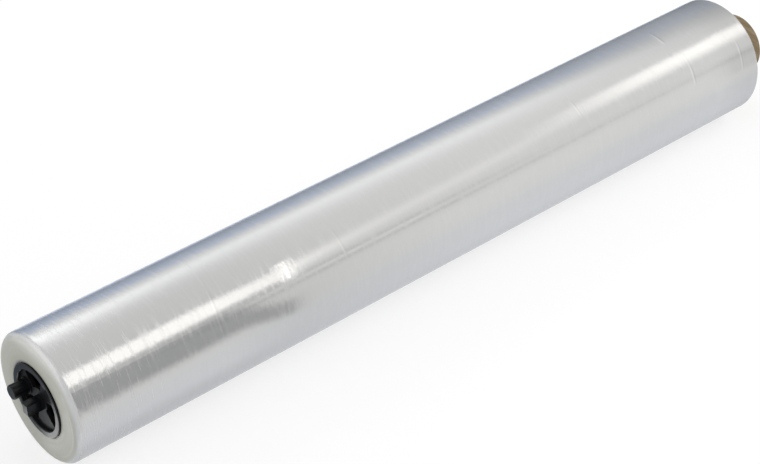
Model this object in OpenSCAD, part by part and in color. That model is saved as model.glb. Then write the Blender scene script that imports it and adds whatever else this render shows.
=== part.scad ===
// A roll of cling film: the wound film, the cardboard core it is wound on, and the
// moulded plug pressed into one end of the core, whose peg and pin let a dispenser drive the roll.
// Lengths are in millimetres and +Z is up. The roll lies along X, on the small flat that its own
// weight presses into the film. The plug is at the -X end and the core sticks out at the +X end.

/* [Film] */

// Width of the film, which is the length of the wound part
film_w = 450; // [200:1:600]
// Diameter over the last turn
film_d = 66.4; // [50:0.1:120]
// Rounding of the wound part's outer edges
film_edge_r = 1.4; // [0.6:0.1:2.5]
// Width of the flat that the film rests on
rest_flat_w = 9; // [5:0.5:12]
// Height of the step at the free end of the film, where the last few turns stop together
tail_step = 0.16; // [0.08:0.02:0.4]
// Where the free end lies round the roll, in degrees from the top toward the front
tail_angle = 53; // [0:1:100]

/* [Turns on the end faces] */

// Distance between the rings that uneven winding leaves on the end faces
turn_pitch = 1.7; // [1.2:0.1:3]
// Depth of a ring's hollow below the end face
turn_hollow = 0.3; // [0.15:0.05:0.6]
// Depth of the ridge between two hollows below the end face
turn_ridge = 0.06; // [0.02:0.02:0.1]
// Plain band left inside the first ring and outside the last one
turn_margin = 0.9; // [0.5:0.1:2]

/* [Core] */

// Outer diameter of the cardboard tube
core_d = 34.8; // [30:0.1:46]
// Thickness of the tube's wall
core_wall = 1.3; // [1.1:0.1:2]
// How far the tube stands proud of the film at the plug's end
core_near_out = 1.3; // [0.3:0.1:6]
// How far the tube sticks out of the film at the open end
core_far_out = 21.5; // [8:0.5:40]
// Chamfer on the cut edges of the tube
core_chamfer = 0.3; // [0.1:0.05:0.5]
// How much the pressed-in plug has widened the tube's bore, on the radius
seat_widening = 0.3; // [0.2:0.05:0.4]

/* [Plug flange and recess] */

// How far the flange reaches past the tube's outer side
flange_over = 1.4; // [0.5:0.1:3]
// Thickness of the flange at its edge
flange_t = 1; // [0.8:0.1:2]
// Clearance between the flange and the end of the tube
flange_clear = 0.05; // [0.04:0.01:0.1]
// Rounding of the flange's front edge
flange_round = 0.4; // [0.2:0.1:0.6]
// Chamfer on the mouth of the recess
mouth_chamfer = 0.4; // [0.2:0.1:0.6]
// Depth of the recess's floor below the flange's edge
floor_depth = 2; // [1.2:0.1:3]
// Thickness of the floor
floor_t = 2; // [1.5:0.1:3]
// Thickness of the wall between the recess and the outside of the sleeve
recess_wall = 0.7; // [0.6:0.1:1.2]
// Number of openings in the floor, and of the arms between them
arm_count = 3; // [2:1:4]
// Share of the floor's round that is open
open_share = 0.5; // [0.3:0.05:0.55]
// Where the first opening lies round the plug, in degrees from the top toward the front
opening_angle = -16; // [-60:1:60]
// Diameter of the closed middle of the floor
hub_d = 12; // [11:0.5:14]
// Width of the ledge between the openings and the inside of the sleeve
ledge_w = 0.4; // [0.3:0.1:1]

/* [Plug sleeve] */

// Depth of the sleeve inside the tube
sleeve_l = 24; // [18:1:40]
// Thickness of the sleeve
sleeve_wall = 1.4; // [1.2:0.1:2.4]
// Clearance between sleeve and tube, on the radius
sleeve_clear = 0.2; // [0.15:0.05:0.3]
// Number of crush ribs that grip the tube
crush_count = 8; // [4:1:12]
// Width of one crush rib
crush_w = 1.2; // [0.8:0.1:2]
// Clearance left outside a crush rib, on the radius
crush_clear = 0.05; // [0.04:0.01:0.1]
// Length of the chamfer that leads the sleeve into the tube
lead_in = 1; // [0.4:0.1:1.2]
// Thickness of the stiffening rib behind each arm of the floor
rib_t = 1.4; // [1:0.1:2]
// Height of the stiffening ribs behind the floor
rib_h = 8; // [3:0.5:10]

/* [Plug peg and pin] */

// Reach of peg and pin beyond the film's end face
reach = 9; // [5:0.5:12]
// Sides of the square-sided drive peg, across and upright
peg_sides = [4.6, 6];
// Place of the drive peg from the roll's axis, toward the back and up
peg_at = [-1.4, -0.5];
// Diameter of the round drive pin
pin_d = 7.4; // [5:0.1:8]
// Place of the drive pin from the roll's axis, toward the back and up
pin_at = [10, 1.9];
// Chamfer at the ends of peg and pin
end_chamfer = 0.4; // [0.2:0.1:1]
// Width of the round foot that the drive pin stands on, beyond the pin itself
foot_w = 0.6; // [0.4:0.1:0.8]
// Height of the drive pin's foot above the floor
foot_h = 0.8; // [0.4:0.1:1]

/* [Hidden] */

$fn = 96;
overrun = 1;
arc_steps = 6;
half_turn = 180;
full_turn = 360;
quarter_turn = 90;

film_r = film_d / 2;
core_r = core_d / 2;
bore_r = core_r - core_wall;
seat_r = bore_r + seat_widening;
sleeve_r = seat_r - sleeve_clear;
sleeve_in_r = sleeve_r - sleeve_wall;
recess_r = sleeve_r - recess_wall;
flange_r = core_r + flange_over;
crush_out = sleeve_clear - crush_clear;

// The roll's axis lies above the table by the film's radius less what the flat takes off.
axis_z = sqrt(pow(film_r, 2) - pow(rest_flat_w / 2, 2));

// The whole length, pegs included, is centred on X = 0.
whole_l = reach + film_w + core_far_out;
film_x = reach - whole_l / 2;
core_x = film_x - core_near_out;
core_l = core_near_out + film_w + core_far_out;
flange_x = core_x - flange_clear - flange_t;
sleeve_from = flange_t + flange_clear;
sleeve_to = sleeve_from + sleeve_l;
floor_back = floor_depth + floor_t;
tip_x = -whole_l / 2;
stem_l = flange_x + floor_depth - tip_x;

turns_from = core_r + turn_margin;
turns_room = film_r - film_edge_r - turn_margin - turns_from;
turn_count = floor(turns_room / turn_pitch);

film_tint = [0.86, 0.88, 0.88];
core_tint = [0.66, 0.55, 0.4];
plug_tint = [0.09, 0.09, 0.1];

// Puts a child drawn upright on the roll's axis, its base at the given X and its top toward +X.
module on_axis(x) {
    translate([x, 0, axis_z])
        rotate([0, quarter_turn, 0])
            children();
}

// Outline of the wound part from its axis outward, with both outer corners rounded.
module wound_outline(r) {
    turn_in = r - film_edge_r;
    low = [for (i = [0:arc_steps])
        let (a = quarter_turn * i / arc_steps)
            [turn_in + film_edge_r * sin(a), film_edge_r * (1 - cos(a))]];
    high = [for (i = [arc_steps:-1:0]) [low[i].x, film_w - low[i].y]];
    polygon(concat([[0, 0]], low, high, [[0, film_w]]));
}

// The wound part as a spiral of two half turns. The second has its centre moved by half the step,
// so it joins the first smoothly on one side and leaves the step of the free end on the other.
// The outer side of the step is above the free end.
module wound_spiral() {
    mirror([0, 1, 0])
        rotate([0, 0, half_turn - tail_angle]) {
            rotate_extrude(angle = half_turn)
                wound_outline(film_r);
            translate([-tail_step / 2, 0, 0])
                rotate([0, 0, half_turn])
                    rotate_extrude(angle = half_turn)
                        wound_outline(film_r - tail_step / 2);
        }
}

// The hollows between the turns of one end face, as a cutter that stands below the face.
module turn_cutter() {
    teeth = [for (i = [0:turn_count - 1])
        let (r = turns_from + i * turn_pitch)
            each [[r, turn_ridge], [r + turn_pitch / 2, turn_hollow]]];
    last_r = turns_from + turn_count * turn_pitch;
    rotate_extrude()
        polygon(concat([[turns_from, -overrun]], teeth, [[last_r, turn_ridge], [last_r, -overrun]]));
}

module film_roll() {
    color(film_tint)
        difference() {
            on_axis(film_x)
                wound_spiral();
            on_axis(film_x - overrun)
                cylinder(r = core_r, h = film_w + 2 * overrun);
            on_axis(film_x)
                turn_cutter();
            on_axis(film_x + film_w)
                mirror([0, 0, 1])
                    turn_cutter();
            translate([-whole_l, -film_d, -film_d])
                cube([2 * whole_l, 2 * film_d, film_d]);
        }
}

module core_tube() {
    color(core_tint)
        on_axis(core_x)
            rotate_extrude()
                polygon([
                    [seat_r, 0],
                    [core_r - core_chamfer, 0],
                    [core_r, core_chamfer],
                    [core_r, core_l - core_chamfer],
                    [core_r - core_chamfer, core_l],
                    [bore_r, core_l],
                    [bore_r, sleeve_l],
                    [seat_r, sleeve_l],
                ]);
}

// Flange, recess, whole floor and sleeve in one turn. The flange's front is at zero and the sleeve
// stands above it, with a chamfer that leads it into the tube.
module plug_shell() {
    edge = [for (i = [0:arc_steps])
        let (a = quarter_turn * i / arc_steps)
            [flange_r - flange_round * (1 - sin(a)), flange_round * (1 - cos(a))]];
    rotate_extrude()
        polygon(concat(
            [
                [0, floor_depth],
                [recess_r, floor_depth],
                [recess_r, mouth_chamfer],
                [recess_r + mouth_chamfer, 0],
            ],
            edge,
            [
                [flange_r, flange_t],
                [sleeve_r, flange_t],
                [sleeve_r, sleeve_to - lead_in],
                [sleeve_r - lead_in / 2, sleeve_to],
                [sleeve_in_r, sleeve_to],
                [sleeve_in_r, floor_back],
                [0, floor_back],
            ]
        ));
}

module crush_ribs() {
    crush_l = sleeve_l - 3 * lead_in;
    for (i = [0:crush_count - 1])
        rotate([0, 0, full_turn * i / crush_count])
            translate([sleeve_r - sleeve_wall / 2, -crush_w / 2, sleeve_from + lead_in])
                cube([sleeve_wall / 2 + crush_out, crush_w, crush_l]);
}

// The openings between the floor's arms, as cutters that reach through the floor.
module floor_openings() {
    step = full_turn / arm_count;
    open_angle = step * open_share;
    open_r = sleeve_in_r - ledge_w;
    for (i = [0:arm_count - 1])
        rotate([0, 0, half_turn + opening_angle - open_angle / 2 + step * i])
            rotate_extrude(angle = open_angle)
                polygon([
                    [hub_d / 2, floor_depth - overrun],
                    [open_r, floor_depth - overrun],
                    [open_r, floor_back + overrun],
                    [hub_d / 2, floor_back + overrun],
                ]);
}

// One rib behind the middle of each arm, which keeps the floor flat while the roll is driven.
module back_ribs() {
    step = full_turn / arm_count;
    rib_l = sleeve_r - sleeve_wall / 2 - hub_d / 4;
    for (i = [0:arm_count - 1])
        rotate([0, 0, half_turn + opening_angle + step * (i + 1 / 2)])
            translate([hub_d / 4, -rib_t / 2, floor_back - floor_t / 2])
                cube([rib_l, rib_t, floor_t / 2 + rib_h]);
}

// Outline of a post of the given width with both corners of its free end chamfered.
module post_outline(w) {
    polygon([
        [end_chamfer - w / 2, 0],
        [w / 2 - end_chamfer, 0],
        [w / 2, end_chamfer],
        [w / 2, stem_l + floor_t / 2],
        [-w / 2, stem_l + floor_t / 2],
        [-w / 2, end_chamfer],
    ]);
}

module drive_peg() {
    translate([-peg_at.y, peg_at.x, 0])
        intersection() {
            rotate([quarter_turn, 0, 0])
                linear_extrude(peg_sides.x, center = true)
                    post_outline(peg_sides.y);
            rotate([quarter_turn, 0, quarter_turn])
                linear_extrude(peg_sides.y, center = true)
                    post_outline(peg_sides.x);
        }
}

module drive_pin() {
    pin_r = pin_d / 2;
    translate([-pin_at.y, pin_at.x, 0])
        rotate_extrude()
            polygon([
                [0, 0],
                [pin_r - end_chamfer, 0],
                [pin_r, end_chamfer],
                [pin_r, stem_l - foot_h],
                [pin_r + foot_w, stem_l - foot_h],
                [pin_r + foot_w, stem_l + floor_t / 2],
                [0, stem_l + floor_t / 2],
            ]);
}

module end_plug() {
    color(plug_tint)
        union() {
            on_axis(flange_x) {
                difference() {
                    plug_shell();
                    floor_openings();
                }
                crush_ribs();
                back_ribs();
            }
            on_axis(tip_x) {
                drive_peg();
                drive_pin();
            }
        }
}

film_roll();
core_tube();
end_plug();
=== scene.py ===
"""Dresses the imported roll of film: the wound film, its board core, the drive plug, the stage."""

import math
from itertools import accumulate

import bmesh
import bpy
from mathutils import Matrix, Vector


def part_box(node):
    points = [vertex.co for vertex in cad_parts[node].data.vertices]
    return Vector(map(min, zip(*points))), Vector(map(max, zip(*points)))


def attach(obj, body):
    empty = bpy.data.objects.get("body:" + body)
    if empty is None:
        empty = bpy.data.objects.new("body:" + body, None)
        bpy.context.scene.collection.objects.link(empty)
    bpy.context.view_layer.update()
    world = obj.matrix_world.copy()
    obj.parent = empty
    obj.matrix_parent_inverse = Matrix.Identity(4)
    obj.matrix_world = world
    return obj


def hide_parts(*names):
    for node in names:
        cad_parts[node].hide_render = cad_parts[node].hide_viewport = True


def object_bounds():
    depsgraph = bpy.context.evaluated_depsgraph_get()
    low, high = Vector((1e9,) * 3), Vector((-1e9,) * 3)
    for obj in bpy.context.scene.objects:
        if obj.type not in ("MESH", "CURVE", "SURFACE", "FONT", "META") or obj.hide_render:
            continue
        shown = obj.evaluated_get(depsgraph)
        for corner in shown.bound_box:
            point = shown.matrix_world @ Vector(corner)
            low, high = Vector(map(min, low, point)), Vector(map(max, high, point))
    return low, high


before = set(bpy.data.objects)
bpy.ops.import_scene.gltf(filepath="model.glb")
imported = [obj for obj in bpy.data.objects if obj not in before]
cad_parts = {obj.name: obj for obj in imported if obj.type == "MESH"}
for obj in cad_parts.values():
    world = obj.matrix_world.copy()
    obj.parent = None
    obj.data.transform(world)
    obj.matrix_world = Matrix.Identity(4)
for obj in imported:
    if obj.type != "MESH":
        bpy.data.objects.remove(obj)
CAD_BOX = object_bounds()

bl_info = {
    "name": "Roll of Film",
    "version": (1, 0, 0),
    "blender": (4, 2, 0),
    "location": "3D View > Sidebar > Roll of Film",
    "description": "Builds the wound film, the spiral-wound core, the drive plug and a stage",
    "category": "Add Mesh",
}

FILM_LOW, FILM_HIGH = (Vector(p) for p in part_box("film_roll"))
CORE_LOW, CORE_HIGH = (Vector(p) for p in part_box("core_tube"))
AXIS_Z = (CORE_LOW.z + CORE_HIGH.z) / 2
CORE_R = (CORE_HIGH.z - CORE_LOW.z) / 2
FILM_W = FILM_HIGH.x - FILM_LOW.x
CORE_L = CORE_HIGH.x - CORE_LOW.x
MM = 0.001
SEAM = 1e-6  # points closer than this are one point
TINY = 1e-4  # shares below this count as none

# Kinds of inputs of the geometry trees.
LENGTH, COUNT, FINISH = "NodeSocketFloat", "NodeSocketInt", "NodeSocketMaterial"

# Where the camera stands, by a fit to the roll's outline.
EYE = Vector((FILM_LOW.x - 0.3195, -0.6109, AXIS_Z + 0.6008))

# Creases in the film: mm from the near end, degrees from the top, half their reach in degrees, and
# height as a share of the band height. Each sways a little along the roll.
CREASES = (
    (83, 32, 48, 0.8),
    (156, 43, 16, 0.6),
    (320, 33, 12, 1.0),
    (394.5, 35, 12, 1.4),
    (400, 3, 13, 1.6),
    (401.5, 48, 18, 1.6),
    (439, 58, 18, 1.4),
)
CREASE_SWAY = 1.5 * MM

# Many clear layers reflect more than one would, so the film's gloss has a high index.
FILM_IOR = 3.0

# How far the glow sheet hangs from the film, how far the painted cards keep off the table, and how
# far the floor goes each way.
GLOW_REACH = 0.08
TABLE_GAP = 0.5 * MM
FLOOR_REACH = 6.0

# For the glow functions, in mm: the film's width, where the near window stops, and where its
# brighter square end starts and stops.
GLOW_WIDTH = 450
WINDOW_END, SQUARE_START, SQUARE_END = 118.6, 120.4, 127.1


class Value:
    """An output socket. Arithmetic on it adds Math nodes to its tree."""

    def __init__(self, web, socket):
        self.web = web
        self.socket = socket

    def output(self, name):
        return Value(self.web, self.socket.node.outputs[name])

    def __add__(self, other):
        return self.web.math("ADD", self, other)

    __radd__ = __add__

    def __sub__(self, other):
        return self.web.math("SUBTRACT", self, other)

    def __rsub__(self, other):
        return self.web.math("SUBTRACT", other, self)

    def __mul__(self, other):
        return self.web.math("MULTIPLY", self, other)

    __rmul__ = __mul__

    def __truediv__(self, other):
        return self.web.math("DIVIDE", self, other)

    def __rtruediv__(self, other):
        return self.web.math("DIVIDE", other, self)

    def __neg__(self):
        return self.web.math("MULTIPLY", self, -1.0)

    def __lt__(self, other):
        return self.web.math("LESS_THAN", self, other)

    def __gt__(self, other):
        return self.web.math("GREATER_THAN", self, other)


class Web:
    """Adds nodes to one tree, of a material, of the world or of geometry."""

    def __init__(self, tree):
        self.tree = tree

    def node(self, kind, settings=None, sockets=None, output=0):
        """A new node with its settings made first, then its sockets filled or linked."""
        made = self.tree.nodes.new(kind)
        for name, value in (settings or {}).items():
            setattr(made, name, value)
        for key, value in (sockets or {}).items():
            if isinstance(value, Value):
                self.tree.links.new(value.socket, made.inputs[key])
            else:
                made.inputs[key].default_value = value
        return Value(self, made.outputs[output]) if made.outputs else made

    def math(self, operation, *values, clamp=False):
        sockets = dict(enumerate(values))
        return self.node("ShaderNodeMath", {"operation": operation, "use_clamp": clamp}, sockets)

    def share(self, value, low, high):
        """How far value has come from low to high, held between 0 and 1."""
        return self.math("DIVIDE", value - low, high - low, clamp=True)

    def smooth(self, value, low, high):
        """As share, with a soft start and end."""
        return self.node(
            "ShaderNodeMapRange",
            {"interpolation_type": "SMOOTHSTEP"},
            {"Value": value, "From Min": low, "From Max": high},
        )

    def vector(self, x, y, z):
        return self.node("ShaderNodeCombineXYZ", None, {"X": x, "Y": y, "Z": z})

    def noise(self, vector, scale=1.0, detail=2.0, roughness=0.5):
        sockets = {"Vector": vector, "Scale": scale, "Detail": detail, "Roughness": roughness}
        return self.node("ShaderNodeTexNoise", None, sockets)

    def creases(self, x, angle, low, high, shift=0.0):
        """The creases' heights, 1 within low of each one's line and 0 beyond high."""
        total = 0.0
        for place, at, half, tall in CREASES:
            sway = self.math("SINE", 3 * angle + place) * CREASE_SWAY
            off = self.math("ABSOLUTE", x - (place * MM + shift) - sway)
            close = self.math("COSINE", angle - math.radians(at))
            none, full = (math.cos(math.radians(part * half)) for part in (1.0, 0.4))
            reach = self.smooth(close, none, full)
            total = total + (1 - self.smooth(off, low, high)) * reach * tall
        return total

    def blend(self, factor, a, b):
        """Colour a where factor is 0, colour b where it is 1."""
        a, b = (c if isinstance(c, Value) else (*c, 1.0) for c in (a, b))
        return self.node("ShaderNodeMix", {"data_type": "RGBA"}, {0: factor, 6: a, 7: b}, output=2)


class GeometryWeb(Web):
    """A geometry tree with named inputs, run once on an empty mesh."""

    def __init__(self, name, inputs):
        super().__init__(bpy.data.node_groups.new(name, "GeometryNodeTree"))
        face = self.tree.interface
        face.new_socket(name="Geometry", in_out="OUTPUT", socket_type="NodeSocketGeometry")
        self.values = {}
        for label, (kind, value) in inputs.items():
            socket = face.new_socket(name=label, in_out="INPUT", socket_type=kind)
            self.values[socket.identifier] = value
        entry = self.node("NodeGroupInput")
        self.given = {label: entry.output(label) for label in inputs}

    def sheet(self, bands):
        """A flat grid, how far across it each point lies, and its share of each band of rows."""
        total = sum(bands)
        grid = self.node("GeometryNodeMeshGrid", None, {
            "Size X": 1.0,
            "Size Y": 1.0,
            "Vertices X": self.given["Columns"],
            "Vertices Y": total + 1,
        })
        place = self.node("GeometryNodeInputPosition")
        spot = self.node("ShaderNodeSeparateXYZ", None, {"Vector": place})
        across, along = (spot.output(k) + 0.5 for k in "XY")
        marks = list(accumulate((rows / total for rows in bands), initial=0))
        return grid, across, [self.share(along, a, b) for a, b in zip(marks, marks[1:])]

    def finish(self, grid, put, smooth_below):
        """Points put in place, seams closed, edges sharp past an angle, material and output."""
        mesh = self.node("GeometryNodeSetPosition", None, {"Geometry": grid, "Position": put})
        mesh = self.node("GeometryNodeMergeByDistance", None, {"Geometry": mesh, "Distance": SEAM})
        mesh = self.node("GeometryNodeSetShadeSmooth", {"domain": "FACE"}, {"Geometry": mesh})
        bend = self.node("GeometryNodeInputMeshEdgeAngle")
        mesh = self.node(
            "GeometryNodeSetShadeSmooth",
            {"domain": "EDGE"},
            {"Geometry": mesh, "Selection": bend > smooth_below, "Shade Smooth": False},
        )
        mesh = self.node("GeometryNodeRealizeInstances", None, {"Geometry": mesh})
        mesh = self.node(
            "GeometryNodeSetMaterial", None, {"Geometry": mesh, "Material": self.given["Finish"]}
        )
        self.node("NodeGroupOutput", None, {"Geometry": mesh})

    def piece(self, name):
        """The tree's result as a plain mesh object in the row frame."""
        holder = bpy.data.objects.new(name, bpy.data.meshes.new(name))
        bpy.context.scene.collection.objects.link(holder)
        modifier = holder.modifiers.new("shape", "NODES")
        modifier.node_group = self.tree
        for identifier, value in self.values.items():
            modifier[identifier] = value
        bpy.context.view_layer.update()
        done = holder.evaluated_get(bpy.context.evaluated_depsgraph_get())
        mesh = bpy.data.meshes.new_from_object(done)
        holder.modifiers.remove(modifier)
        holder.data = mesh
        if not mesh.polygons:
            raise RuntimeError(f"{name} came out empty")
        face_outward(mesh)
        return holder


def face_outward(mesh):
    work = bmesh.new()
    work.from_mesh(mesh)
    bmesh.ops.recalc_face_normals(work, faces=work.faces)
    work.to_mesh(mesh)
    work.free()


class MaterialWeb(Web):
    """The tree of a new material."""

    def __init__(self, name):
        self.material = bpy.data.materials.new(name)
        self.material.use_nodes = True
        super().__init__(self.material.node_tree)

    def show(self, shader):
        """The material, with this shader on its output."""
        self.tree.links.new(shader.socket, self.tree.nodes["Material Output"].inputs["Surface"])
        return self.material


class FinishWeb(MaterialWeb):
    """A material built round one Principled shader, with the place on the roll at hand."""

    def __init__(self, name):
        super().__init__(name)
        self.shader = self.tree.nodes["Principled BSDF"]
        self.place = self.node("ShaderNodeTexCoord").output("Object")
        parts = self.node("ShaderNodeSeparateXYZ", None, {"Vector": self.place})
        self.x, self.y, self.z = (parts.output(k) for k in "XYZ")
        self.rise = self.z - AXIS_Z
        self.radius = self.math("SQRT", self.y * self.y + self.rise * self.rise)
        self.angle = self.math("ARCTAN2", -self.y, self.rise)

    def fill(self, **sockets):
        for name, value in sockets.items():
            socket = self.shader.inputs[name.replace("_", " ")]
            if isinstance(value, Value):
                self.tree.links.new(value.socket, socket)
            else:
                socket.default_value = value
        return self.material

    def bump(self, height, depth, strength=1.0):
        sockets = {"Strength": strength, "Distance": depth, "Height": height}
        return self.node("ShaderNodeBump", None, sockets)


def fill_film_side(web, look, near_end, far_end):
    """The glossy side with fine lines and puckers; painted light and shade on crease flanks and by
    the far end.
    """
    x, y, z = web.x, web.y, web.z
    streak = web.noise(web.vector(x * 900, y * 80, z * 80), detail=3.0, roughness=0.6)
    fine = web.noise(web.vector(x * 3200, y * 40, z * 40), detail=2.0)
    pucker = web.noise(web.vector(x * 650, y * 230, z * 230), detail=2.0)
    haze = web.noise(web.vector(x * 9, y * 26, z * 26), detail=3.0)
    broken = web.noise(web.vector(x * 60, y * 90, z * 90), detail=2.0)
    comb = web.smooth(streak, 0.45, 0.63)
    near_comb = 1 - web.smooth(near_end, 15 * MM, 70 * MM)
    rim = 1 - web.smooth(near_end, -1 * MM, 2.7 * MM)
    side = web.blend(haze, look.film_shade, look.film_light)
    side = web.blend(comb * (0.14 - 0.04 * near_comb), side, look.film_streak)
    # Painted shade: the side darkens toward its far end.
    side = web.blend(web.smooth(far_end, 34 * MM, 3 * MM) * 0.4, side, look.film_end)
    # Painted highlight on one flank of each crease and painted shade on the other.
    for shift, part, tone in ((-0.5, 0.2, look.crease_light), (0.6, 0.3, look.crease_dark)):
        flank = web.creases(near_end, web.angle, 0.2 * MM, 0.8 * MM, shift * MM)
        flank = web.smooth(broken, 0.3, 0.6) * flank
        side = web.blend(web.math("MULTIPLY", flank, part, clamp=True), side, tone)
    rough = look.film_roughness + (0.19 + 0.03 * near_comb) * comb + 0.03 * fine + 0.3 * rim
    height = (streak * 0.4 + fine * 0.2 + pucker) * (1 + 1.2 * near_comb)
    web.fill(Base_Color=side, Roughness=rough, IOR=FILM_IOR, Normal=web.bump(height, 0.045 * MM))


def film_end_face(web, sizes, look):
    """Cream end face with the turns' edges; painted light at its top, painted shade low and by the
    flange.
    """
    y, z = web.y, web.z
    turn = web.noise(web.vector(web.radius * 1500, y * 10, z * 10), detail=3.0, roughness=0.7)
    speck = web.noise(web.place, scale=1500.0, detail=2.0)
    outward = web.smooth(web.radius, CORE_R, sizes.film_radius)
    face = web.blend(outward, look.end_inner, look.end_outer)
    face = web.blend(web.smooth(turn, 0.3, 0.75) * 0.3, face, look.end_line)
    face = web.blend(web.smooth(speck, 0.62, 0.75) * 0.25, face, look.film_light)
    # Painted light: the end face lighter toward its top.
    face = web.blend(web.smooth(web.rise, 22 * MM, 33 * MM) * 0.8, face, look.end_top_light)
    # Painted shade: the end face darker toward the front and the table.
    shade = web.smooth(-y * 0.6 - web.rise * 0.8, -8 * MM, 24 * MM)
    face = web.blend(shade * 0.46, face, look.end_low_shade)
    # Painted shadow of the plug's flange: a dark ring round the core, strongest toward the back.
    flange_shadow = 1 - web.smooth(web.radius, 18.7 * MM, 20.8 * MM)
    turned = web.smooth(y - web.rise * 0.2, -9 * MM, 9 * MM)
    face = web.blend(flange_shadow * (0.25 + 0.5 * turned), face, look.end_dark)
    return web.node("ShaderNodeBsdfPrincipled", None, {
        "Base Color": face,
        "Roughness": 0.42 + 0.12 * turn,
        "Specular IOR Level": 0.2,
        "Normal": web.bump(turn, 0.03 * MM, 0.5),
    })


def film_finish(sizes, look):
    """Pale glossy wound film, with cream end faces."""
    web = FinishWeb("wound_film")
    near_end = web.x - FILM_LOW.x
    far_end = FILM_HIGH.x - web.x
    fill_film_side(web, look, near_end, far_end)
    near_face = 1 - web.smooth(near_end + sizes.near_reach, 0.1 * MM, 0.9 * MM)
    far_face = 1 - web.smooth(far_end + sizes.far_reach, 0.15 * MM, 0.5 * MM)
    end = web.math("MAXIMUM", near_face, far_face)
    side = Value(web, web.shader.outputs[0])
    cut_face = film_end_face(web, sizes, look)
    return web.show(web.node("ShaderNodeMixShader", None, {0: end, 1: side, 2: cut_face}))


def board_finish(sizes, look):
    """Spiral-wound board: brown outer ply, grey liner, fibres that follow the winding."""
    web = FinishWeb("spiral_board")
    wound = web.angle - web.x * (math.tau / sizes.core_lead)
    cos_w, sin_w = (web.math(f, wound) * CORE_R for f in ("COSINE", "SINE"))
    along = web.x * 160 + web.radius * 900
    fibre = web.noise(web.vector(cos_w * 1900, sin_w * 1900, along), detail=4.0, roughness=0.65)
    patch = web.noise(web.vector(cos_w * 130, sin_w * 130, web.x * 40), detail=3.0)
    speck = web.noise(web.place, scale=900.0, detail=2.0)
    wall = CORE_R - web.radius
    inside = web.smooth(wall, 0.7 * MM, 1.3 * MM)
    thin = 0.25 * MM
    ply = web.math("PINGPONG", wall, thin) / thin
    reach = web.math("MINIMUM", web.x - CORE_LOW.x, CORE_HIGH.x - web.x)
    cut = 1 - web.smooth(reach, 0.1 * MM, 0.35 * MM)
    brown = web.blend(web.smooth(fibre, 0.3, 0.7), look.board_dark, look.board_light)
    brown = web.blend(web.smooth(patch, 0.5, 0.75) * 0.45, brown, look.board_pale)
    brown = web.blend(web.smooth(speck, 0.66, 0.74) * 0.5, brown, look.board_dark)
    grey = web.blend(web.smooth(fibre, 0.25, 0.75), look.liner_dark, look.liner_light)
    colour = web.blend(inside, brown, grey)
    edge = web.blend(ply * 0.5, look.board_pale, look.board_dark)
    return web.fill(
        Base_Color=web.blend(cut, colour, edge),
        Roughness=0.72 + 0.2 * fibre,
        Normal=web.bump(fibre + 0.5 * speck, 0.06 * MM, 0.6),
    )


def plug_finish(look):
    """Black moulding: a fine spark texture, scuffs on what stands out, and a duller recess."""
    web = FinishWeb("black_moulding")
    grain = web.noise(web.place, scale=2400.0, detail=2.0)
    flow = web.noise(web.place, scale=160.0, detail=3.0)
    lines = web.vector(web.x * 300, web.y * 2200, web.z * 1200)
    scuff = web.noise(lines, detail=3.0, roughness=0.7)
    out = 1 - web.smooth(web.x, CAD_BOX[0][0] + 1.2 * MM, CAD_BOX[0][0] + 9 * MM)
    worn = web.smooth(scuff, 0.58, 0.72) * (0.25 + 0.75 * out)
    deep = web.smooth(web.x, CORE_LOW.x - 0.6 * MM, CORE_LOW.x)
    colour = web.blend(flow, look.plug_dark, look.plug_light)
    colour = web.blend(worn * 0.6, colour, look.plug_scuff)
    return web.fill(
        Base_Color=colour,
        Roughness=0.2 + 0.1 * flow + 0.16 * worn + 0.25 * deep,
        Specular_IOR_Level=0.15,
        Normal=web.bump(grain * 0.5 + flow * 0.5, 0.03 * MM, 0.25),
    )


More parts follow.
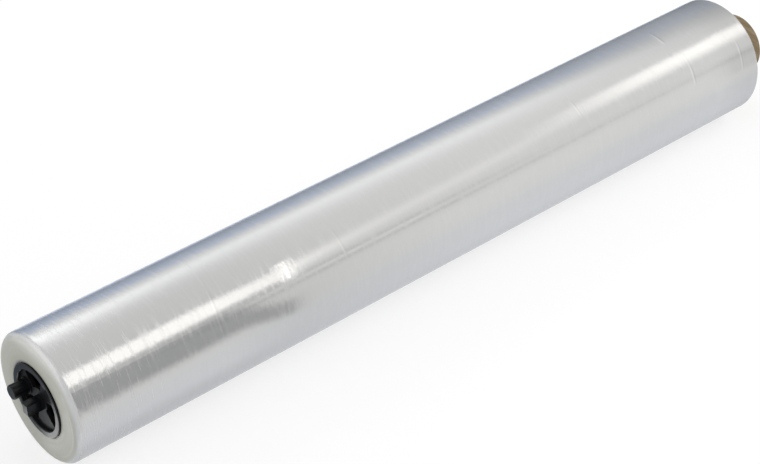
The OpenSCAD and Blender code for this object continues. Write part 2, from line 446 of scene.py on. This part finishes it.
def film_shape(sizes, material):
    """One closed skin, row by row: near face, rounded edge, side, rounded edge, far face, bore.
    Its columns start just below the free end, and the last pair of columns is the step there."""
    face_rows, edge_rows, side_rows, bore_rows = 44, 6, 480, 2
    web = GeometryWeb("wound_film_shape", {
        "Width": (LENGTH, FILM_W),
        "Radius": (LENGTH, sizes.film_radius),
        "Bore Radius": (LENGTH, CORE_R),
        "Near Edge Radius": (LENGTH, sizes.near_edge),
        "Far Edge Radius": (LENGTH, sizes.far_edge),
        "Near Reach": (LENGTH, sizes.near_reach),
        "Far Reach": (LENGTH, sizes.far_reach),
        "Seat Radius": (LENGTH, sizes.seat_radius),
        "Seat Reach": (LENGTH, sizes.seat_reach),
        "Free End Step": (LENGTH, sizes.tail_step),
        "Free End Angle": (LENGTH, sizes.tail_angle),
        "Turn Hollow": (LENGTH, sizes.turn_hollow),
        "Turn Pitch": (LENGTH, sizes.turn_pitch),
        "Band Height": (LENGTH, sizes.band_height),
        "Columns": (COUNT, sizes.film_columns),
        "Finish": (FINISH, material),
    })
    given = web.given
    rows = (face_rows, edge_rows, side_rows, edge_rows, face_rows, bore_rows)
    grid, across, bands = web.sheet(rows)
    near, near_edge, side, far_edge, far, bore = bands
    last = given["Columns"] - 1
    turn = web.math("DIVIDE", across * last, last - 1, clamp=True) * math.tau
    at_step = across > 1 - 0.5 / last
    first_half = web.math("MAXIMUM", turn < math.pi, at_step)
    cosine = web.math("COSINE", turn)
    drop = given["Free End Step"] * 0.5 * (1 + cosine) * first_half
    angle = turn + given["Free End Angle"]
    sin_a = web.math("SINE", angle)
    cos_a = web.math("COSINE", angle)
    near_round, far_round = given["Near Edge Radius"], given["Far Edge Radius"]
    quarter = math.pi / 2
    outer = given["Radius"] - drop - given["Bore Radius"]
    radius = (
        given["Bore Radius"]
        + (outer - near_round) * near
        + near_round * web.math("SINE", near_edge * quarter)
        - far_round * (1 - web.math("COSINE", far_edge * quarter))
        - (outer - far_round) * far
    )
    whole = given["Width"] + given["Near Reach"] + given["Far Reach"]
    x = (
        near_round * (1 - web.math("COSINE", near_edge * quarter))
        + (whole - near_round - far_round) * side
        + far_round * web.math("SINE", far_edge * quarter)
        - (whole - given["Near Reach"] + given["Seat Reach"]) * bore
        - given["Near Reach"]
    )
    # The turns on the end faces follow a spiral, so their place shifts by one pitch each round.
    spiral = (radius - given["Bore Radius"]) / given["Turn Pitch"] - turn / math.tau
    for progress, sign, seed in ((near, 1, 3.1), (1 - far, -1, 7.7)):
        ripple = web.noise(web.vector(spiral, seed, 0.0), scale=1.0, detail=2.0, roughness=0.6)
        window = web.smooth(progress, 0.02, 0.1) * (1 - web.smooth(progress, 0.9, 0.99))
        on_face = (far > 0) if sign < 0 else (near_edge < TINY)
        x = x + sign * given["Turn Hollow"] * (0.2 + 1.2 * ripple) * window * on_face
    # The near face steps back round the core, which leaves room for the plug's flange.
    seat = 1 - web.smooth(radius, given["Seat Radius"], given["Seat Radius"] + 0.35 * MM)
    x = x + (given["Near Reach"] - given["Seat Reach"]) * seat * (1 - bore) * (near_edge < TINY)
    # Thick and thin bands run round the roll, with a few narrow ridges and creases near the ends.
    skin = near_edge * (1 - far_edge) * (1 - bore)
    broad = web.noise(web.vector(x * 55, sin_a * 0.15, cos_a * 0.15), scale=1.0, detail=2.0)
    crease = web.noise(web.vector(x * 120, sin_a * 5.0, cos_a * 5.0), scale=1.0, detail=2.0)
    ridges = web.creases(x, angle, 0.2 * MM, 1.6 * MM)
    from_end = web.math("MINIMUM", x, given["Width"] - x)
    near_ends = 1 - web.smooth(from_end, 12 * MM, 45 * MM)
    swell = broad * 0.8 + ridges + web.smooth(crease, 0.6, 0.72) * (0.25 + near_ends)
    radius = radius + given["Band Height"] * (swell - 1.2) * skin
    height = web.math("MAXIMUM", radius * cos_a + AXIS_Z, 0.0)
    put = web.vector(x + FILM_LOW.x, -(radius * sin_a), height)
    web.finish(grid, put, math.radians(40))
    return web.piece("film")


def core_shape(sizes, material):
    """A tube whose columns follow the winding, so its outer ply's joint is a groove along them."""
    side_rows, end_rows = 240, 3
    web = GeometryWeb("spiral_core_shape", {
        "Length": (LENGTH, CORE_L),
        "Radius": (LENGTH, CORE_R),
        "Wall": (LENGTH, sizes.core_wall),
        "Turns": (LENGTH, CORE_L / sizes.core_lead),
        "Joint Width": (LENGTH, sizes.joint_width),
        "Joint Depth": (LENGTH, sizes.joint_depth),
        "Columns": (COUNT, sizes.core_columns),
        "Finish": (FINISH, material),
    })
    given = web.given
    grid, across, bands = web.sheet((side_rows, end_rows, side_rows, end_rows))
    outside, far_end, inside, near_end = bands
    step = 1 / (given["Columns"] - 1)
    joint = given["Joint Width"] / (given["Radius"] * math.tau)
    round_share = (
        joint * web.math("DIVIDE", across, step * 3, clamp=True)
        + (1 - joint) * web.math("DIVIDE", across - step * 3, 1 - step * 3, clamp=True)
    )
    in_joint = (across > step * 0.5) * (across < step * 2.5)
    travel = outside - inside
    angle = (round_share + given["Turns"] * travel) * math.tau
    wall = far_end - near_end
    on_outer = 1 - web.math("ABSOLUTE", wall)
    rough_cut = web.noise(web.vector(round_share * 90, wall * 6, 2.0), scale=1.0, detail=3.0)
    at_cut = (outside > 1 - TINY) * (inside < TINY) + (inside > 1 - TINY)
    radius = given["Radius"] - given["Wall"] * wall - given["Joint Depth"] * in_joint * on_outer
    end_sign = 2 * travel - 1
    x = given["Length"] * travel - end_sign * (0.25 * MM) * rough_cut * at_cut
    put = web.vector(
        x + CORE_LOW.x,
        -(radius * web.math("SINE", angle)),
        radius * web.math("COSINE", angle) + AXIS_Z,
    )
    web.finish(grid, put, math.radians(35))
    return web.piece("core")


def plug_shape(sizes, material):
    """The plug's own solid with the moulding's small edge roundings."""
    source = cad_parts["end_plug"]
    mesh = bpy.data.meshes.new("plug")
    work = bmesh.new()
    work.from_mesh(source.data)
    bmesh.ops.remove_doubles(work, verts=work.verts, dist=SEAM)
    bmesh.ops.dissolve_limit(
        work, angle_limit=math.radians(0.5), verts=work.verts, edges=work.edges, delimit={"NORMAL"}
    )
    work.to_mesh(mesh)
    work.free()
    mesh.shade_smooth()
    mesh.set_sharp_from_angle(angle=math.radians(32))
    piece = bpy.data.objects.new("plug", mesh)
    bpy.context.scene.collection.objects.link(piece)
    rounding = piece.modifiers.new("edges", "BEVEL")
    rounding.width = sizes.plug_rounding
    rounding.segments = 2
    rounding.limit_method = "ANGLE"
    rounding.angle_limit = math.radians(35)
    rounding.use_clamp_overlap = True
    rounding.harden_normals = True
    bpy.context.view_layer.update()
    done = piece.evaluated_get(bpy.context.evaluated_depsgraph_get())
    smooth = bpy.data.meshes.new_from_object(done)
    piece.modifiers.remove(rounding)
    piece.data = smooth
    smooth.materials.clear()
    smooth.materials.append(material)
    return piece


def length(label, words, value):
    return bpy.props.FloatProperty(
        name=label, description=words, default=value, unit="LENGTH", precision=5)


def count(label, words, value):
    return bpy.props.IntProperty(name=label, description=words, default=value)


def strength(label, words, value):
    return bpy.props.FloatProperty(name=label, description=words, default=value, min=0.0)


def tint(label, words, colour):
    return bpy.props.FloatVectorProperty(
        name=label, description=words, subtype="COLOR", size=3, min=0.0, max=1.0, default=colour)


class RollSizes(bpy.types.PropertyGroup):
    """Sizes of the dressed roll that a user may change."""

    film_radius: length("Film Radius", "Radius over the film's last turn", 33.2 * MM)
    near_edge: length("Near Edge", "Rounding of the film's outer edge at the plug's end", 3.9 * MM)
    far_edge: length("Far Edge", "Rounding of the film's outer edge at the open end", 0.9 * MM)
    near_reach: length(
        "Near Reach", "How far the turns stand out round the plug's flange", 1.6 * MM)
    seat_reach: length(
        "Seat Reach", "How far the turns stand out behind the plug's flange", 1.25 * MM)
    seat_radius: length("Seat Radius", "Radius of the room for the plug's flange", 18.95 * MM)
    far_reach: length("Far Reach", "How far the turns stand out at the open end", 1.6 * MM)
    tail_step: length("Free End Step", "Height of the step at the film's free end", 0.16 * MM)
    tail_angle: bpy.props.FloatProperty(
        name="Free End Angle", description="Place of the free end, from the top toward the front",
        default=math.radians(53), subtype="ANGLE")
    turn_hollow: length(
        "Turn Hollow", "Depth of the hollows between turns on the end faces", 0.22 * MM)
    turn_pitch: length("Turn Pitch", "Distance between the rings on the end faces", 1.7 * MM)
    band_height: length("Band Height", "Height of the bands that run round the film", 0.05 * MM)
    film_columns: count("Film Columns", "Columns of the film's skin round the roll", 160)
    core_wall: length("Core Wall", "Thickness of the core's board", 1.3 * MM)
    core_lead: length("Core Lead", "Length along the core of one turn of its winding", 96 * MM)
    joint_width: length(
        "Joint Width", "Width of the groove between the outer ply's edges", 0.8 * MM)
    joint_depth: length("Joint Depth", "Depth of that groove", 0.3 * MM)
    core_columns: count("Core Columns", "Columns of the core's skin round the roll", 99)
    plug_rounding: length("Plug Rounding", "Rounding of the plug's edges", 0.25 * MM)


class RollLook(bpy.types.PropertyGroup):
    """Colours and gloss of the roll."""

    film_shade: tint("Film Shade", "Deeper tone of the film's side", (0.465, 0.47, 0.475))
    film_light: tint("Film Light", "Lighter tone of the film's side", (0.52, 0.525, 0.525))
    film_streak: tint("Film Streak", "Tone of the streaks round the film", (0.57, 0.57, 0.565))
    film_roughness: bpy.props.FloatProperty(
        name="Film Roughness", description="Least roughness of the film's side",
        default=0.05, subtype="FACTOR", min=0.0, max=1.0)
    # Painted shade: the film's side darker beside its far end.
    film_end: tint("Film End", "Film's side beside its far end", (0.3, 0.3, 0.3))
    # Painted highlight and painted shade on the two flanks of each crease.
    crease_light: tint("Crease Light", "Flank of a crease that faces the light", (0.9, 0.9, 0.88))
    crease_dark: tint("Crease Dark", "Flank of a crease that is turned away", (0.3, 0.3, 0.31))
    end_inner: tint("End Inner", "End face beside the core", (0.49, 0.495, 0.415))
    end_outer: tint("End Outer", "End face at its rim", (0.66, 0.665, 0.6))
    end_line: tint("End Line", "Edges of single turns on the end face", (0.76, 0.76, 0.69))
    # Painted light: the end face lighter toward its top.
    end_top_light: tint("End High", "End face toward its top", (0.95, 0.95, 0.9))
    # Painted shade: the end face darker toward the front and the table.
    end_low_shade: tint("End Low", "End face toward the table", (0.38, 0.38, 0.36))
    end_dark: tint("End Dark", "End face in the shade of the plug's flange", (0.12, 0.125, 0.13))
    board_dark: tint("Board Dark", "Darker fibres of the core", (0.17, 0.12, 0.062))
    board_light: tint("Board Light", "Lighter fibres of the core", (0.31, 0.235, 0.138))
    board_pale: tint("Board Pale", "Rubbed and cut board", (0.45, 0.37, 0.26))
    liner_dark: tint("Liner Dark", "Darker fibres of the core's liner", (0.4, 0.36, 0.33))
    liner_light: tint("Liner Light", "Lighter fibres of the core's liner", (0.58, 0.54, 0.51))
    plug_dark: tint("Plug Dark", "Deeper tone of the plug", (0.004, 0.0045, 0.0055))
    plug_light: tint("Plug Light", "Lighter tone of the plug", (0.009, 0.0095, 0.011))
    plug_scuff: tint("Plug Scuff", "Scuffs on the plug", (0.03, 0.03, 0.03))


class RollStage(bpy.types.PropertyGroup):
    """Light and floor."""

    floor_tone: tint("Floor Tone", "Colour of the floor", (0.86, 0.86, 0.86))
    fill_light: strength("Fill Light", "Strength of the light from all round", 0.68)
    window_light: strength(
        "Window Light", "Brightness of the soft boxes, where 1 is white paper", 5.4)


def settings():
    scene = bpy.context.scene
    return scene.roll_sizes, scene.roll_look, scene.roll_stage


class ROLL_OT_film(bpy.types.Operator):
    """Build the wound film"""

    bl_idname = "roll.film"
    bl_label = "Wound Film"

    def execute(self, context):
        sizes, look, _ = settings()
        piece = film_shape(sizes, film_finish(sizes, look))
        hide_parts("film_roll")
        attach(piece, "root")
        return {"FINISHED"}


class ROLL_OT_core(bpy.types.Operator):
    """Build the spiral-wound core"""

    bl_idname = "roll.core"
    bl_label = "Board Core"

    def execute(self, context):
        sizes, look, _ = settings()
        piece = core_shape(sizes, board_finish(sizes, look))
        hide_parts("core_tube")
        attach(piece, "root")
        return {"FINISHED"}


class ROLL_OT_plug(bpy.types.Operator):
    """Build the drive plug"""

    bl_idname = "roll.plug"
    bl_label = "Drive Plug"

    def execute(self, context):
        sizes, look, _ = settings()
        piece = plug_shape(sizes, plug_finish(look))
        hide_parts("end_plug")
        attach(piece, "root")
        return {"FINISHED"}


# Soft boxes, each turned about the roll's own direction: name, centre, tilt in degrees, size along
# the roll and across it, and brightness in shares of the window light. They light the roll and are
# left out of its gloss, which the glow sheet fills.
SOFT_BOXES = (
    ("box_near", (0.38, -0.78, 0.96), 39.7, 0.25, 0.42, 1.0),
    ("box_far", (1.08, -0.36, 0.97), 20.9, 0.34, 0.34, 1.0),
    ("box_top_near", (0.1, 0.9, 0.92), -45.6, 0.34, 0.34, 0.5),
)


def shown_to_eye(web):
    """1 on rays from the camera, off gloss and through glass, and 0 on the rest."""
    path = web.node("ShaderNodeLightPath")
    seen = web.math("MAXIMUM", path.output("Is Camera Ray"), path.output("Is Glossy Ray"))
    return web.math("MAXIMUM", seen, path.output("Is Transmission Ray"))


def make_world(stage):
    world = bpy.data.worlds.new("white_room")
    bpy.context.scene.world = world
    world.use_nodes = True
    web = Web(world.node_tree)
    back = world.node_tree.nodes["Background"]
    back.inputs["Color"].default_value = (1.0, 1.0, 1.0, 1.0)
    level = stage.fill_light + (1 - stage.fill_light) * shown_to_eye(web)
    world.node_tree.links.new(level.socket, back.inputs["Strength"])


def flat_piece(name, corners, material):
    mesh = bpy.data.meshes.new(name)
    mesh.from_pydata([Vector(c) for c in corners], [], [range(len(corners))])
    mesh.materials.append(material)
    piece = bpy.data.objects.new(name, mesh)
    bpy.context.scene.collection.objects.link(piece)


class StageWeb(MaterialWeb):
    """A stage material, made of whatever shader is put on its output."""

    def __init__(self, name):
        super().__init__(name)
        self.tree.nodes.remove(self.tree.nodes["Principled BSDF"])


def floor_finish(stage):
    """Pale paper that reads as white to the eye and keeps the roll's shadow."""
    web = StageWeb("pale_paper")
    paper = web.node("ShaderNodeBsdfDiffuse", None, {"Color": (*stage.floor_tone, 1.0)})
    white = web.node("ShaderNodeEmission", None, {"Strength": 1.25})
    part = 0.55 * shown_to_eye(web)
    return web.show(web.node("ShaderNodeMixShader", None, {0: part, 1: paper, 2: white}))


def card_finish():
    """A card that glows in the colours painted on its corners."""
    web = StageWeb("painted_card")
    paint = web.node("ShaderNodeVertexColor", {"layer_name": "paint"})
    return web.show(web.node("ShaderNodeEmission", None, {"Color": paint}))


def painted_card(name, rows, material):
    """A sheet through rows of (point, colour) that shows in gloss and nowhere else."""
    across = len(rows[0])
    faces = [
        (i, i + 1, i + across + 1, i + across)
        for j in range(len(rows) - 1)
        for i in range(j * across, (j + 1) * across - 1)
    ]
    mesh = bpy.data.meshes.new(name)
    mesh.from_pydata([point for row in rows for point, _ in row], [], faces)
    mesh.materials.append(material)
    paint = mesh.color_attributes.new("paint", "FLOAT_COLOR", "POINT")
    for corner, (_, colour) in zip(paint.data, (item for row in rows for item in row)):
        corner.color = (*colour, 1.0)
    card = bpy.data.objects.new(name, mesh)
    bpy.context.scene.collection.objects.link(card)
    card.visible_camera = False
    card.visible_diffuse = False
    card.visible_shadow = False


def ease(value, low, high):
    """How far value has come from low to high, with a soft start and end."""
    part = min(max((value - low) / (high - low), 0.0), 1.0)
    return part * part * (3 - 2 * part)


def between(value, rise_from, rise_to, fall_from, fall_to):
    """1 between a soft rise and a soft fall, and 0 outside them."""
    return ease(value, rise_from, rise_to) * (1 - ease(value, fall_from, fall_to))


def hump(value, middle, spread):
    """1 at the middle, and less on both sides of it."""
    return math.exp(-(((value - middle) / spread) ** 2))


def mirrored(sizes, x, a):
    """Where the film's side, x mm along it and a degrees from its top, sends the camera's ray."""
    turn = math.radians(a)
    normal = Vector((0, -math.sin(turn), math.cos(turn)))
    spot = Vector((FILM_LOW.x + x * MM, 0, AXIS_Z)) + normal * sizes.film_radius
    ray = (spot - EYE).normalized().reflect(normal)
    reach = GLOW_REACH
    if ray.z < 0:
        reach = min(reach, (spot.z - TABLE_GAP) / -ray.z)
    return spot + ray * reach


# The glow functions give the brightness that the film's gloss shows at x mm from its near end and
# a degrees from its top toward the front, where 1 is white paper.


def glow_above(x, a):
    """The band of light over the roll, the dim room behind it and the white table below that."""
    far = x / GLOW_WIDTH
    middle = -1 + 5.4 * far + 19 * far ** 4
    peak = 1 + 0.95 * math.exp(-max(x, 0) / 50) + 0.72 * (1 - ease(x, 230, 430))
    if a < middle:
        down = middle - a
        fall = 8.5 + 2 * far + 9 * far ** 4 - math.exp(-max(x, 0) / 25)
        table = 0.98 * (1 - ease(a, -36.5 - 4 * far, -25.5 - 4 * far))
        return peak * math.exp(-down * down / (down + 3) / fall) + table
    room = 0.87 + 0.28 * ease(x, 40, 260)
    tail = 0.22 * (1 - 0.6 * ease(x, 100, 250)) * hump(a, middle, 17)
    return room + tail + (peak - room - tail) * hump(a, middle, 8.5)


def near_window(x, a):
    """The window before the near part, its brighter square end, and light that spills past it."""
    if x < WINDOW_END:
        late = ease(x, 70, 115)
        return (1.8 - 0.3 * late) * between(a, 35.5 + 1.5 * late, 40.5 + 2.5 * late, 46, 50)
    if x < SQUARE_END:
        return 2.6 * between(a, 34, 37.5, 49, 52.5) if x > SQUARE_START else 0.0
    past = x - 127
    spill = (0.3 + 0.75 * math.exp(-past / 32)) * hump(a, 43.6 - 0.025 * past, 4.2)
    return spill * (1 - ease(x, 260, 330))


def far_window(x, a):
    """The window before the far part."""
    return 1.5 * ease(x, 265, 400) * between(a, 26, 32.5, 35.5, 45)


def dark_finger(x, a):
    """The dark finger below the near window, which narrows and ends with it."""
    above = 51 + 15 * ease(x, 82, 122)
    under = 71.5 + 8.5 * ease(x, 90, 122)
    return 0.8 * between(a, above - 3.5, above + 5, under - 5, under + 3) * (1 - ease(x, 117, 131))


def free_end_lines(x, a):
    """A dim line on each side of the film's free end, and a bright one between them."""
    dim = hump(a, 51.3, 1.2) * (1 - ease(x, 230, 330))
    dim += 1.2 * hump(a, 56.7, 1.4) * (1 - 0.4 * ease(x, 200, 420))
    bright = between(x, 95, 135, 190, 240) * hump(a, 54, 0.8)
    return 0.3 * (bright - ease(x, 30, 120) * dim)


def lower_front(x, a):
    """The front below the windows, lighter at the near end and duller toward table and far end."""
    light = 0.26 * (1 - ease(x, 75, 130)) * between(a, 66, 78, 92, 108)
    light += 0.1 * ease(x, 130, 230) * between(a, 58, 64, 70, 84)
    dull = (0.08 + 0.18 * ease(x, 100, 260)) * ease(a, 100, 124)
    dull += 0.05 * ease(x, 300, 380) * ease(a, 72, 84)
    dull += 0.3 * ease(x, 412, 438) * between(a, 52, 58, 68, 76)
    return light - dull


def glow(x, a):
    """All of it together, never quite black."""
    lit = glow_above(x, a) + near_window(x, a) + far_window(x, a)
    return max(lit + lower_front(x, a) + free_end_lines(x, a) - dark_finger(x, a), 0.03)


def glow_colour(x, level, a):
    """Bluish where the room behind is dim, and a little warm in front."""
    dim = (1 - min(level, 1.0)) * (1 - ease(a, -12, 8)) * (1 - 0.35 * x / GLOW_WIDTH)
    warm = 0.02 * ease(a, 4, 30) - 0.05 * ease(a, 66, 96)
    return level * (1 - 0.62 * dim + warm), level, level * (1 + 1.25 * dim - 2 * warm)


def add_glow_sheet(sizes, material):
    """All that the film's gloss shows: one sheet, painted by where its points show on the film."""
    edges = [x + d for x in (WINDOW_END, SQUARE_START, SQUARE_END) for d in (-0.1, 0.1)]
    columns = [*range(-30, 118, 8), *edges, *range(131, 490, 8)]
    rows = []
    for a in (0.5 * step for step in range(-84, 256)):
        rows.append([(mirrored(sizes, x, a), glow_colour(x, glow(x, a), a)) for x in columns])
    painted_card("glow_sheet", rows, material)


def add_table_card(material):
    """The lit table before the near end, with the roll's shade on it, for the plug's gloss."""
    rows = []
    for y in (-70, -4, *range(0, 80, 3), 150, 300):
        row = []
        for out in (*range(5, 80, 3), 160):
            shade = max(ease(y - 1.6 * out, -8, -2), 0.85 * ease(out, 25.5, 29.5))
            lit = 1.5 + 2.1 * ease(y, -4, 2)
            tone = [lit + (dark - lit) * shade for dark in (0.32, 0.38, 0.44)]
            row.append((Vector((FILM_LOW.x - out * MM, y * MM, TABLE_GAP)), tone))
        rows.append(row)
    painted_card("table_card", rows, material)


def add_side_card(material):
    """A bright card to the left, which draws the light rim of the film's near edge."""
    tone = (1.7, 1.7, 1.66)
    edges = ((-1.15, 0.15), (-0.75, 1.15))
    rows = [[(Vector((x, y, z)), tone) for y in (-0.3, 1.6)] for x, z in edges]
    painted_card("side_card", rows, material)


def add_soft_box(name, centre, tilt, wide, deep, level):
    light = bpy.data.lights.new(name, "AREA")
    light.shape = "RECTANGLE"
    light.size = wide
    light.size_y = deep
    light.energy = level * wide * deep * math.pi
    lamp = bpy.data.objects.new(name, light)
    lamp.location = centre
    lamp.rotation_euler = (math.radians(tilt), 0, 0)
    lamp.visible_camera = False
    lamp.visible_glossy = False
    bpy.context.scene.collection.objects.link(lamp)


def add_camera():
    """The view that a fit to the roll's outline gives: place, three directions and the lens."""
    right = Vector((0.76067, -0.64914, 0.0))
    down = Vector((-0.39063, -0.45774, -0.79868))
    ahead = Vector((0.51845, 0.60753, -0.60176))
    data = bpy.data.cameras.new("view")
    data.sensor_fit = "HORIZONTAL"
    data.sensor_width = 36.0
    data.lens = 94.166
    data.clip_start = 0.01
    data.clip_end = 50.0
    camera = bpy.data.objects.new("view", data)
    turn = Matrix((right, -down, -ahead)).transposed()
    camera.matrix_world = Matrix.Translation(EYE) @ turn.to_4x4()
    bpy.context.scene.collection.objects.link(camera)
    bpy.context.scene.camera = camera


class ROLL_OT_stage(bpy.types.Operator):
    """Build the floor, light and camera"""

    bl_idname = "roll.stage"
    bl_label = "Stage"

    def execute(self, context):
        sizes, _, stage = settings()
        context.scene.view_settings.view_transform = "Standard"
        make_world(stage)
        signs = ((-1, -1), (1, -1), (1, 1), (-1, 1))
        corners = [(x * FLOOR_REACH, y * FLOOR_REACH, 0) for x, y in signs]
        flat_piece("floor", corners, floor_finish(stage))
        card = card_finish()
        add_glow_sheet(sizes, card)
        add_table_card(card)
        add_side_card(card)
        for name, centre, tilt, wide, deep, part in SOFT_BOXES:
            add_soft_box(name, centre, tilt, wide, deep, part * stage.window_light)
        add_camera()
        return {"FINISHED"}


class ROLL_PT_panel(bpy.types.Panel):
    """Lists the builders and their settings"""

    bl_idname = "ROLL_PT_panel"
    bl_label = "Roll of Film"
    bl_space_type = "VIEW_3D"
    bl_region_type = "UI"
    bl_category = "Roll of Film"

    def draw(self, context):
        for operator in OPERATORS:
            self.layout.operator(operator.bl_idname)
        for group in settings():
            for name in group.__annotations__:
                self.layout.prop(group, name)


GROUPS = {"roll_sizes": RollSizes, "roll_look": RollLook, "roll_stage": RollStage}
OPERATORS = (ROLL_OT_stage, ROLL_OT_film, ROLL_OT_core, ROLL_OT_plug)


def register():
    for name, group in GROUPS.items():
        bpy.utils.register_class(group)
        setattr(bpy.types.Scene, name, bpy.props.PointerProperty(type=group))
    for kind in (*OPERATORS, ROLL_PT_panel):
        bpy.utils.register_class(kind)


def unregister():
    for kind in (ROLL_PT_panel, *reversed(OPERATORS)):
        bpy.utils.unregister_class(kind)
    for name, group in GROUPS.items():
        delattr(bpy.types.Scene, name)
        bpy.utils.unregister_class(group)


def main():
    register()
    bpy.ops.roll.stage()
    bpy.ops.roll.film()
    bpy.ops.roll.core()
    bpy.ops.roll.plug()


if __name__ == "__main__":
    main()
